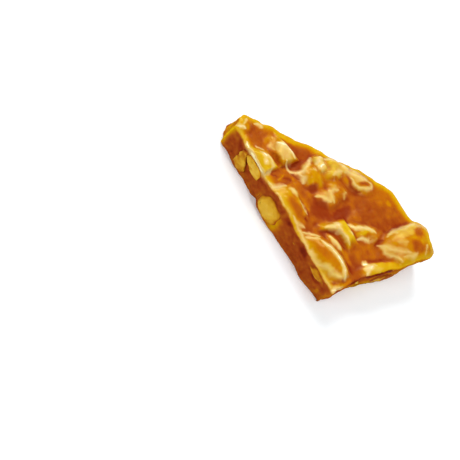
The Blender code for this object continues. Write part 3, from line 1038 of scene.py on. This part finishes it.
def as_mesh(name: str, shape: bmesh.types.BMesh, materials: Iterable[bpy.types.Material]) -> bpy.types.Mesh:
    """Turns a shape, which is used up, into a mesh.

    Args:
        name: The mesh's name.
        shape: The shape.
        materials: Its materials, in the order that its faces name them.

    Returns:
        The mesh.
    """
    mesh = bpy.data.meshes.new(name)
    shape.to_mesh(mesh)
    shape.free()
    for material in materials:
        mesh.materials.append(material)
    return mesh


def finish_piece(name: str, shape: bmesh.types.BMesh, materials: Iterable[bpy.types.Material],
                 nodes: tuple[str, ...]) -> bpy.types.Object:
    """Turns a shape in millimetres into a smooth piece that rides on the object.

    Args:
        name: The piece's name.
        shape: Its shape, which is used up.
        materials: Its materials, in the order that its faces name them.
        nodes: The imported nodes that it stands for.

    Returns:
        The piece.
    """
    bmesh.ops.recalc_face_normals(shape, faces=shape.faces)
    bmesh.ops.scale(shape, vec=(MM, MM, MM), verts=shape.verts)
    mesh = as_mesh(name, shape, materials)
    mesh.shade_smooth()
    piece = add_object(name, mesh)
    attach(piece, "root")
    if nodes:
        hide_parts(*nodes)
    LOG.info("%s: %d faces", name, len(mesh.polygons))
    return piece


@dataclass
class CaramelShard:
    """The caramel: a glazed top, a rounded rim, rough fracture walls and a level underside."""

    sheet: SheetForm
    breaks: BreakForm
    columns: int = 240
    rows: int = 130
    rim_radius: float = 0.32
    rim_rings: int = 4
    wall_layers: int = 24
    foot_radius: float = 0.15
    # Painted glows: the rim glow, the edge glow, the foot glow and the corner glows stand for light shining
    # through the caramel's thin edges, painted into its tone.
    rim_glow: float = 0.95
    rim_glow_span: float = 1.05
    rim_tone: float = 0.9
    edge_glow_tone: float = 0.85
    edge_glow_span: float = 0.32
    # Painted highlight: a cream line along the front rim, patchy along it.
    front_line: float = -12.5
    front_fade: float = 1.0
    front_rim_highlight: float = 0.3
    rim_highlight_level: float = 0.35
    rim_highlight_patch: float = 2.2
    rim_highlight_fade: float = 0.7
    rim_highlight_inward: float = 0.25
    cream_and_glint_down: float = 0.2
    # Where the painted rim glow and edge glow are held back: the wide end's front rim, which lies in shade.
    unlit_rim: Dent = Dent((19.6, -7.4), (1.8, 3.3), 1.0)
    # Tone from the top's relief: darker in hollows, partly for thicker film and partly as painted shade, and
    # lighter on raised places as painted light.
    film_and_shade_gain: float = 1.1
    film_limits: Flat = (-0.25, 0.12)
    film_reach: int = 4
    cream_gold: float = 0.3
    wall_tone: float = 0.25
    wall_waves: tuple[Flat, ...] = ((0.16, 2.4), (0.14, 0.9))
    wall_fade: float = 0.5
    wall_start: float = 0.12
    # Painted glow: the wall turns golden just above the floor.
    foot_glow_tone: float = 0.6
    foot_glow: float = 0.6
    foot_glow_span: float = 0.6
    foot_tone: float = 0.24
    foot_drift: float = 0.1
    foot_span: float = 3.0
    # Painted glow along the upright corners at the tip and at the wide end's front.
    corner_glow_span: float = 0.9
    corners: tuple[Solid, ...] = ((-21.0, -14.0, 1.0), (19.5, -14.0, 0.4))
    stains: tuple[Stain, ...] = (
        Stain((-17.4, -14.2, 4.6), (1.6, 3.0, 1.7), 0.12),
        # Painted light on the front rim above the two left chunks: the band just over the chunk is lightened
        # where shade falls, and the white line along the rim is a painted highlight.
        Stain((-12.4, -14.2, 8.2), (3.4, 3.0, 0.9), 0.95, 0.3),
        Stain((-10.9, -14.2, 7.0), (2.4, 3.0, 0.5), 0.95, 0.2),
        Stain((-13.5, -14.2, 7.8), (1.7, 3.0, 0.45), 0.95, 1.2),
        Stain((-11.0, -14.2, 7.7), (2.2, 3.0, 0.45), 0.95, 1.3),
        Stain((2.0, -14.2, 6.6), (1.5, 3.0, 0.9), -0.06),
        Stain((9.0, -14.2, 5.8), (1.4, 3.0, 1.0), -0.06),
        Stain((-2.4, -14.2, 7.4), (2.6, 3.0, 0.9), 0.26),
        Stain((-6.2, -14.2, 2.6), (0.5, 3.0, 1.2), 0.5),
        Stain((1.0, -14.2, 2.6), (1.1, 3.0, 2.6), 0.6),
        Stain((0.2, -14.2, 3.0), (1.0, 3.0, 2.2), 0.8),
        Stain((14.6, -14.2, 4.4), (1.2, 3.0, 0.9), 0.02),
        Stain((17.0, -14.2, 2.2), (0.5, 3.0, 1.1), 0.7),
        Stain((18.6, -14.2, 3.6), (1.0, 3.0, 3.4), 0.3),
        Stain((-22.0, -11.8, 4.6), (1.1, 1.6, 7.0), 0.85),
        Stain((-21.9, -13.0, 6.4), (0.7, 0.5, 2.4), 0.3),
        # Painted shade: the groove under the lobe's overhang at the wide end, and the dark wall under the
        # wide end's front rim.
        Stain((21.2, 1.6, 6.0), (3.0, 5.2, 1.0), -0.15),
        Stain((20.0, -8.0, 6.2), (2.0, 4.6, 1.6), 0.04),
        Stain((22.8, 9.6, 6.0), (2.0, 4.6, 4.0), 0.7),
        Stain((21.0, 0.0, 1.3), (3.0, 8.5, 2.4), 0.85),
    )
    station: bmesh.types.BMLayerItem = field(init=False)
    tone: bmesh.types.BMLayerItem = field(init=False)
    cream_and_glint: bmesh.types.BMLayerItem = field(init=False)
    wall: bmesh.types.BMLayerItem = field(init=False)
    loop: list[tuple[Vector, Vector]] = field(init=False)
    rim: list[Vector] = field(init=False)

    def build(self, glazed: bpy.types.Material, broken: bpy.types.Material) -> bpy.types.Object:
        """Builds and dresses the caramel.

        Args:
            glazed: The material of the poured top.
            broken: The material of the fracture walls and the underside.

        Returns:
            The piece.
        """
        shape = bmesh.new()
        self.station = shape.verts.layers.int.new("station")
        self.tone, self.cream_and_glint, self.wall = (
            shape.verts.layers.float.new(look) for look in ("tone", "cream_and_glint", "wall"))
        self.loop = self.breaks.loop(self.columns, self.rows)
        self.rim = self.rim_line()
        self.lay_top(shape)
        self.drop_walls(shape)
        self.order_faces(shape)
        shape.verts.layers.int.remove(self.station)
        for face in shape.faces:
            face.material_index = int(min(corner[self.wall] for corner in face.verts) > self.wall_start)
        return finish_piece("caramel_shard", shape, (glazed, broken), ("caramel",))

    def rim_line(self) -> list[Vector]:
        """The line where the top meets its rounded rim, with its height at each place.

        Returns:
            The line, one point for each place of the loop.
        """
        line = []
        for spot, outward in self.loop:
            wall = spot.to_3d() + Vector((0, 0, self.sheet.height(*spot)))
            place = spot + outward * (self.breaks.offset(wall) - self.rim_radius)
            line.append(Vector((place.x, place.y, self.sheet.height(*place))))
        return line

    def lay_top(self, shape: bmesh.types.BMesh) -> None:
        """Lays the poured top between the rims and paints its look.

        Args:
            shape: The mesh that takes it.
        """
        grid = self.grid(shape, [spot.to_2d() for spot in self.rim])
        near = KDTree(len(self.rim))
        for index, spot in enumerate(self.rim):
            near.insert((spot.x, spot.y, 0), index)
        near.balance()
        for corner in grid:
            corner.co.z = self.sheet.height(*corner.co.xy)
        heights = numpy.array([corner.co.z for corner in grid]).reshape(self.rows + 1, self.columns + 1)
        standing = self.standing(heights).ravel()
        for corner, stand in zip(grid, standing):
            x, y = corner.co.x, corner.co.y
            inside = near.find((x, y, 0))[2]
            # Painted glow: near the rim the tone is drawn towards a golden tone, held back where the wide
            # end's rim lies in shade.
            glow = self.rim_glow * (1 - soft_hollow(self.unlit_rim, (x, y)))
            glow *= bell(inside, self.rim_glow_span)
            tone, cream_and_glint = self.sheet.look(x, y)
            # Darker in hollows, partly thicker film and partly painted shade; lighter on raised places as
            # painted light.
            film = max(self.film_limits[0], min(self.film_limits[1], stand))
            tone += self.film_and_shade_gain * film + self.cream_gold * cream_and_glint
            corner[self.tone] = tone + (self.rim_tone - tone) * glow
            # Painted highlight along the front rim, laid into the cream.
            corner[self.cream_and_glint] = max(cream_and_glint, self.rim_highlight(x, y) * fade(inside, self.rim_highlight_inward))

    def rim_highlight(self, x: float, y: float) -> float:
        """How strong the painted highlight is on the front rim, which varies along it."""
        patch = self.rim_highlight_level + wave((x, y, Layer.RIM), self.rim_highlight_patch)
        return self.front_rim_highlight * ease(self.front_line - y, self.front_fade) * ease(patch, self.rim_highlight_fade)

    def standing(self, heights: numpy.ndarray) -> numpy.ndarray:
        """How far each place of the top stands above the mean of its surroundings.

        Args:
            heights: The grid's heights, row by row.

        Returns:
            The differences, in the same layout: thick film and painted shade lie where they are negative,
                painted light where they are positive.
        """
        mean = heights
        span = 2 * self.film_reach + 1
        for axis in (0, 1):
            edges = [(self.film_reach, self.film_reach) if a == axis else (0, 0) for a in (0, 1)]
            padded = numpy.pad(mean, edges, mode="edge")
            shifts = (numpy.take(padded, range(k, k + mean.shape[axis]), axis) for k in range(span))
            mean = sum(shifts) / span
        return heights - mean

    def grid(self, shape: bmesh.types.BMesh, edge: list[Vector]) -> list[bmesh.types.BMVert]:
        """Lays a grid and spreads it between the four sides of the break line.

        Args:
            shape: The mesh that takes it.
            edge: The places round the grid, anticlockwise from its first corner.

        Returns:
            The grid's vertices, row by row.
        """
        corners = bmesh.ops.create_grid(
            shape, x_segments=self.columns, y_segments=self.rows, size=0.5)["verts"]
        corners.sort(key=lambda corner: (round(corner.co.y, 4), corner.co.x))
        across, deep = self.columns, self.rows
        front, right = edge[:across + 1], edge[across:across + deep + 1]
        back = edge[across + deep:2 * across + deep + 1][::-1]
        left = (edge + edge[:1])[2 * across + deep:][::-1]
        for corner in corners:
            u, v = corner.co.x + 0.5, corner.co.y + 0.5
            i, j = round(u * across), round(v * deep)
            place = front[i] * (1 - v) + back[i] * v + left[j] * (1 - u) + right[j] * u
            place -= (front[0] * (1 - u) + front[-1] * u) * (1 - v) + (back[0] * (1 - u) + back[-1] * u) * v
            corner.co.x, corner.co.y = place
            corner[self.station] = self.station_of(i, j)
        return corners

    def station_of(self, i: int, j: int) -> int:
        """The place of a grid vertex on the loop, or -1 inside it.

        Args:
            i: The vertex's column.
            j: Its row.

        Returns:
            Its number on the loop, or -1.
        """
        across, deep = self.columns, self.rows
        if j == 0:
            return i
        if i == across:
            return across + j
        if j == deep:
            return 2 * across + deep - i
        return (2 * (across + deep) - j) if i == 0 else -1

    def drop_walls(self, shape: bmesh.types.BMesh) -> None:
        """Extrudes the rounded rim and the walls down from the top's edge and closes the underside.

        Args:
            shape: The mesh that holds the top.
        """
        edges = [edge for edge in shape.edges if edge.is_boundary]
        radius, quarter = self.rim_radius, math.pi / 2
        turns = [quarter * k / self.rim_rings for k in range(1, self.rim_rings + 1)]
        profile = [(radius * math.sin(turn), radius * (1 - math.cos(turn)), 0.0) for turn in turns]
        profile += [(radius, radius, layer / self.wall_layers) for layer in range(1, self.wall_layers + 1)]
        for out, down, share in profile:
            grown = bmesh.ops.extrude_edge_only(shape, edges=edges)["geom"]
            edges = [item for item in grown if isinstance(item, bmesh.types.BMEdge)]
            for corner in (item for item in grown if isinstance(item, bmesh.types.BMVert)):
                self.place_on_wall(corner, out, down, share)
        foot = [None] * len(self.loop)
        for corner in {corner for edge in edges for corner in edge.verts}:
            foot[corner[self.station]] = corner.co.to_2d()
        for corner in self.grid(shape, foot):
            corner.co.z = 0
            corner[self.tone] = self.foot_tone + self.foot_drift * wave(corner.co, self.foot_span)
            corner[self.wall] = 1.0
        bmesh.ops.remove_doubles(shape, verts=shape.verts, dist=0.001)

    def order_faces(self, shape: bmesh.types.BMesh) -> None:
        """Stores the faces by their places, since extruding stores them in a new order each run.

        Args:
            shape: The finished mesh.
        """
        for index, face in enumerate(sorted(shape.faces, key=lambda face: face.calc_center_median()[:])):
            face.index = index
        shape.faces.sort()

    def place_on_wall(self, corner: bmesh.types.BMVert, out: float, down: float, share: float) -> None:
        """Moves a new vertex to its place on the rim or the wall and tones it.

        Args:
            corner: The vertex.
            out: How far it stands out from the top's edge.
            down: How far it lies under the top's edge.
            share: How far it lies down the wall, from 0 under the rim to 1 at the foot.
        """
        spot, outward = self.loop[corner[self.station]]
        start = self.rim[corner[self.station]]
        height = (start.z - down) * (1 - share)
        if share:
            wall = Vector((spot.x, spot.y, height))
            place = spot + outward * self.breaks.offset(wall)
            place -= outward * max(0.0, self.foot_radius - height)
        else:
            place = start.to_2d() + outward * out
        corner.co = (place.x, place.y, height)
        under_rim = start.z - height
        top_tone, top_cream_and_glint = self.sheet.look(start.x, start.y)
        tone, cream_and_glint = lay_marks(self.wall_tone, 0.0, (
            (stain, nearness(stain, corner.co)) for stain in self.stains))
        tone += sum(strength * wave(corner.co, span) for strength, span in self.wall_waves)
        # Painted glow at the foot of the wall, just above the floor.
        tone += (self.foot_glow_tone - tone) * self.foot_glow * fade(height, self.foot_glow_span)
        # Painted glow: the wall turns golden round the upright corners.
        for x, y, strength in self.corners:
            tone += (1.0 - tone) * strength * bell(math.hypot(place.x - x, place.y - y), self.corner_glow_span)
        # Painted glow and highlight just under the rim: the wall's top takes a bright tone and the top's
        # cream and rim highlight, held back where the wide end's rim lies in shade.
        top_cream_and_glint = max(top_cream_and_glint, self.rim_highlight(start.x, start.y))
        bright = max(top_tone, self.edge_glow_tone * (1 - soft_hollow(self.unlit_rim, (start.x, start.y))))
        corner[self.tone] = tone + (bright - tone) * bell(under_rim, self.edge_glow_span)
        corner[self.cream_and_glint] = max(cream_and_glint, top_cream_and_glint * bell(under_rim, self.cream_and_glint_down))
        corner[self.wall] = 1 - fade(under_rim, self.wall_fade)


@dataclass
class NutChunk:
    """A nut chunk that lies bare at a wall: a rounded body with flat broken sides."""

    name: str
    centre: Solid
    radii: Solid
    yaw: float
    cuts: tuple[tuple[Solid, float], ...]
    growth: float = 0.12
    proud: float = 0.08
    bulge: float = 0.45
    bulge_span: float = 1.4
    film: float = 0.06
    cling: float = 1.2
    glazed: float = 0.0
    relief: float = 0.12
    relief_span: float = 1.1
    mottle: float = 0.35
    mottle_shift: Solid = (5.0, 5.0, 5.0)
    relief_shading: float = 0.85
    deepest: float = 1.5
    lift_span: float = 0.5
    film_from: float = 0.3
    film_fade: float = 0.3
    unevenness: float = 0.12
    grain_scale: float = 2.0

    def body(self, shape: bmesh.types.BMesh, subdivisions: int) -> list[bmesh.types.BMVert]:
        """The chunk before the break through it: an uneven oval cut flat on its broken sides.

        Args:
            shape: The mesh that takes it.
            subdivisions: How fine it is.

        Returns:
            Its vertices, in place.
        """
        corners = bmesh.ops.create_icosphere(shape, subdivisions=subdivisions, radius=1)["verts"]
        for corner in corners:
            uneven = 1 + self.unevenness * noise.noise(corner.co * self.grain_scale + Vector(self.centre))
            corner.co = Vector(c * uneven * (r + self.growth) for c, r in zip(corner.co, self.radii))
        bmesh.ops.rotate(shape, verts=corners, matrix=Matrix.Rotation(math.radians(self.yaw), 3, "Z"))
        for normal, distance in self.cuts:
            normal = Vector(normal).normalized()
            for corner in corners:
                beyond = corner.co.dot(normal) - distance - self.growth
                if beyond > 0:
                    corner.co -= normal * beyond
        bmesh.ops.smooth_vert(shape, verts=corners, factor=0.5, use_axis_x=True, use_axis_y=True,
                              use_axis_z=True)
        bmesh.ops.translate(shape, verts=corners, vec=self.centre)
        return corners

    def bare(self, corners: list[bmesh.types.BMVert], glaze: bmesh.types.BMLayerItem,
             caramel: BVHTree) -> None:
        """Breaks the chunk off a little proud of the caramel and glazes its border.

        Args:
            corners: The chunk's vertices.
            glaze: The layer that takes how much caramel clings to them.
            caramel: The caramel's surface, in millimetres.
        """
        for corner in corners:
            place, normal, _, _ = caramel.find_nearest(corner.co)
            beyond = (corner.co - place).dot(normal)
            rough = wave(corner.co, self.relief_span)
            patchy = noise.noise(corner.co / self.relief_span + Vector(self.mottle_shift))
            # Painted shade and light: the colour darkens in the dips of the relief and pales on its bumps.
            patchy -= self.relief_shading * rough
            clung = max(self.glazed, min(1.0, self.glazed + fade(max(beyond, 0.0), self.cling)))
            corner[glaze] = (clung + self.mottle * patchy) / self.deepest
            if beyond > 0:
                lift = ease(beyond, self.lift_span)
                swollen = self.proud * lift + self.bulge * (1 - fade(beyond, self.bulge_span))
                relief = self.relief * rough * lift
                under_film = ease(normal.z - self.film_from, self.film_fade)
                corner.co = place + normal * ((swollen + relief) * (1 - under_film) - self.film * under_film)

    def build(self, caramel: BVHTree, material: bpy.types.Material) -> bpy.types.Object:
        """Builds the chunk with its broken face just proud of the wall.

        Args:
            caramel: The caramel's surface, in millimetres.
            material: The nut's material.

        Returns:
            The piece.
        """
        shape = bmesh.new()
        glaze = shape.verts.layers.float.new("glaze")
        self.bare(self.body(shape, 5), glaze, caramel)
        return finish_piece(f"{self.name}_chunk", shape, (material,), (self.name,))


LEFT, RIGHT = (-1.0, 0.0, 0.0), (1.0, 0.0, 0.0)
UP, DOWN = (0.0, 0.0, 1.0), (0.0, 0.0, -1.0)

CHUNKS = (
    NutChunk("nut_front_tip", (-14.4, -13.2, 4.0), (3.0, 2.9, 3.7), 0,
             ((LEFT, 1.25), (DOWN, 2.9), (UP, 2.7), ((0.89, 0, 0.46), 1.0)), cling=0.5, glazed=0.6),
    NutChunk("nut_front_left", (-11.6, -12.6, 5.8), (3.4, 3.2, 2.4), 0,
             ((RIGHT, 2.5), (UP, 1.4), ((-0.55, 0, -0.83), 1.0)), cling=0.5, glazed=0.25),
    NutChunk("nut_front_middle", (-2.6, -12.8, 3.2), (3.6, 4.4, 2.9), 4, ((LEFT, 3.0), (DOWN, 2.6)),
             glazed=0.12, relief=0.04, mottle=0.15),
    NutChunk("nut_front_right", (14.2, -12.6, 6.1), (3.0, 2.6, 1.2), 0, ((UP, 0.9),), glazed=0.2),
    # Glazed past the darkest stop: painted shade of the groove this chunk lies in under the wide end's rim.
    NutChunk("nut_end_top", (19.6, -0.9, 6.9), (2.2, 3.7, 1.6), -14, ((DOWN, 0.4), (LEFT, 1.9)),
             glazed=1.45),
    NutChunk("nut_end_back", (20.4, 2.4, 2.4), (2.4, 3.6, 1.6), -13, ((DOWN, 1.3), ((0, 1, 0), 3.1)),
             glazed=0.45),
    NutChunk("nut_back_tip", (-16.6, -6.4, 4.2), (2.9, 2.2, 2.6), 34, ((LEFT, 2.2), (UP, 2.0))),
    NutChunk("nut_back_left", (-8.0, -1.4, 3.8), (3.7, 3.2, 3.0), 40, ((DOWN, 2.6), (RIGHT, 2.7))),
    NutChunk("nut_back_middle", (2.6, 8.0, 4.4), (3.8, 3.0, 2.6), 38, ((UP, 2.2), (LEFT, 3.0))),
    NutChunk("nut_back_right", (10.4, 10.8, 3.4), (3.0, 3.0, 2.7), 0, ((RIGHT, 2.3), (UP, 2.2))),
)


@dataclass
class NutCrumbs:
    """Small bare crumbs of nut in the fracture walls, joined into one piece."""

    shown: tuple[NutChunk, ...] = (
        NutChunk("crumb", (-6.2, -14.1, 2.7), (0.25, 0.7, 1.1), 0, (), glazed=0.4),
        NutChunk("crumb", (0.8, -14.3, 0.9), (0.5, 0.6, 0.3), 0, ()),
        NutChunk("crumb", (6.4, -14.1, 4.6), (0.6, 0.5, 0.25), 0, (), glazed=0.5),
    )
    count: int = 30
    seed: int = 7
    steps: tuple[int, int] = (60, 30)
    sizes: Flat = (0.35, 1.0)
    heights: Flat = (1.2, 6.0)
    cut_depths: Flat = (0.1, 0.3)
    glazes: Flat = (-0.1, 0.7)
    front: float = -12.0
    tip: float = -21.0
    cling: float = 0.3
    bulge: float = 0.12
    growth: float = 0.0
    relief: float = 0.08

    def scattered(self, breaks: BreakForm) -> list[NutChunk]:
        """Crumbs at seeded places of the back and the two ends.

        Args:
            breaks: The break line on which they stand.

        Returns:
            The crumbs.
        """
        chance = random.Random(self.seed)
        places = [spot for spot, _ in breaks.loop(*self.steps) if spot.y > self.front and spot.x > self.tip]
        crumbs = []
        for spot in chance.sample(places, self.count):
            centre = (spot.x, spot.y, chance.uniform(*self.heights))
            radii = tuple(chance.uniform(*self.sizes) for _ in range(3))
            cuts = tuple((tuple(chance.uniform(-1, 1) for _ in range(3)), chance.uniform(*self.cut_depths))
                         for _ in range(3))
            crumbs.append(NutChunk("crumb", centre, radii, chance.uniform(0, 180), cuts,
                                   glazed=chance.uniform(*self.glazes)))
        return crumbs

    def build(self, breaks: BreakForm, caramel: BVHTree, material: bpy.types.Material) -> bpy.types.Object:
        """Builds all the crumbs.

        Args:
            breaks: The break line on which the scattered ones stand.
            caramel: The caramel's surface, in millimetres.
            material: The nut's material.

        Returns:
            The piece.
        """
        shape = bmesh.new()
        glaze = shape.verts.layers.float.new("glaze")
        for crumb in (*self.shown, *self.scattered(breaks)):
            crumb.cling, crumb.bulge, crumb.growth, crumb.relief = (
                self.cling, self.bulge, self.growth, self.relief)
            crumb.bare(crumb.body(shape, 3), glaze, caramel)
        return finish_piece("nut_crumbs", shape, (material,), ())


# ---- Studio

class SoftBox(NamedTuple):
    """A box of light: where it stands seen from the piece, how far off, its size and its power."""

    name: str
    direction: Solid
    distance: float
    size: Flat
    power: float
    mirrored: bool = True


@dataclass
class Studio:
    """A pale floor, soft boxes of light and the camera. Lengths are metres and powers are watts."""

    floor_size: float = 1.6
    boxes: tuple[SoftBox, ...] = (
        SoftBox("overhead_box", (0.1, 0.1, 0.98), 0.6, (0.5, 0.5), 0.9, False),
        SoftBox("key_box", (-0.6, 0.3, 0.74), 0.36, (0.22, 0.14), 0.9),
        SoftBox("right_box", (0.57, -0.06, 0.82), 0.4, (0.07, 0.18), 0.45),
        SoftBox("front_box", (-0.1, -0.75, 0.65), 0.45, (0.2, 0.08), 0.5, False),
    )
    sky: Colour = (1.0, 0.97, 0.93, 1)
    sky_strength: float = 0.22
    lens: float = 100.0
    distance: float = 0.272
    azimuth: float = 8.0
    elevation: float = 53.0
    roll: float = 53.0
    aim: Solid = (0.0027, -0.003, 0.005)
    off_axis: Flat = (0.0744, 0.0172)

    def build(self) -> None:
        """Builds the stage, the lights and the camera."""
        self.lay_floor()
        for box in self.boxes:
            self.hang(box)
        world = bpy.data.worlds.new("studio")
        world.use_nodes = True
        sky = world.node_tree.nodes["Background"].inputs
        sky["Color"].default_value = self.sky
        sky["Strength"].default_value = self.sky_strength
        bpy.context.scene.world = world
        bpy.context.scene.view_settings.view_transform = "Standard"
        self.set_camera()

    def lay_floor(self) -> None:
        """Lays the pale floor under the piece."""
        shape = bmesh.new()
        bmesh.ops.create_grid(shape, x_segments=1, y_segments=1, size=self.floor_size / 2)
        floor = add_object("floor", as_mesh("floor", shape, (PaleFloor().make(),)))

    def hang(self, box: SoftBox) -> None:
        """Hangs a soft box so that it faces the piece.

        Args:
            box: The soft box.
        """
        data = bpy.data.lights.new(box.name, "AREA")
        data.shape = "RECTANGLE"
        data.size, data.size_y = box.size
        data.energy = box.power
        light = add_object(box.name, data)
        toward = Vector(box.direction).normalized()
        light.location = toward * box.distance
        light.rotation_euler = toward.to_track_quat("Z", "Y").to_euler()
        light.visible_glossy = box.mirrored

    def set_camera(self) -> None:
        """Sets the camera so that the aimed point lies off the view's centre by the named slopes."""
        azimuth, elevation = math.radians(self.azimuth), math.radians(self.elevation)
        back = Vector((math.sin(azimuth) * math.cos(elevation), -math.cos(azimuth) * math.cos(elevation),
                       math.sin(elevation)))
        level = back.to_track_quat("Z", "Y").to_matrix()
        turned = level @ Matrix.Rotation(math.radians(self.roll), 3, "Z")
        ray = Vector((self.off_axis[0], self.off_axis[1], -1)).normalized()
        swing = (turned @ ray).rotation_difference(-back).to_matrix()
        data = bpy.data.cameras.new("camera")
        data.lens = self.lens
        data.clip_start = 0.001
        camera = add_object("camera", data)
        pose = (swing @ turned).to_4x4()
        pose.translation = Vector(self.aim) + back * self.distance
        camera.matrix_world = pose
        bpy.context.scene.camera = camera


def main() -> None:
    """Builds every piece in order and reports it."""
    logging.basicConfig(level=logging.INFO, format="%(name)s: %(message)s")
    caramel = CaramelShard(SheetForm(), BreakForm()).build(HardCaramel().make(), BrokenCaramel().make())
    surface = bmesh.new()
    surface.from_mesh(caramel.data)
    bmesh.ops.scale(surface, vec=(1 / MM, 1 / MM, 1 / MM), verts=surface.verts)
    tree = BVHTree.FromBMesh(surface)
    surface.free()
    nut = BrokenNut().make()
    for chunk in CHUNKS:
        chunk.build(tree, nut)
    NutCrumbs().build(BreakForm(), tree, nut)
    Studio().build()


if __name__ == "__main__":
    main()
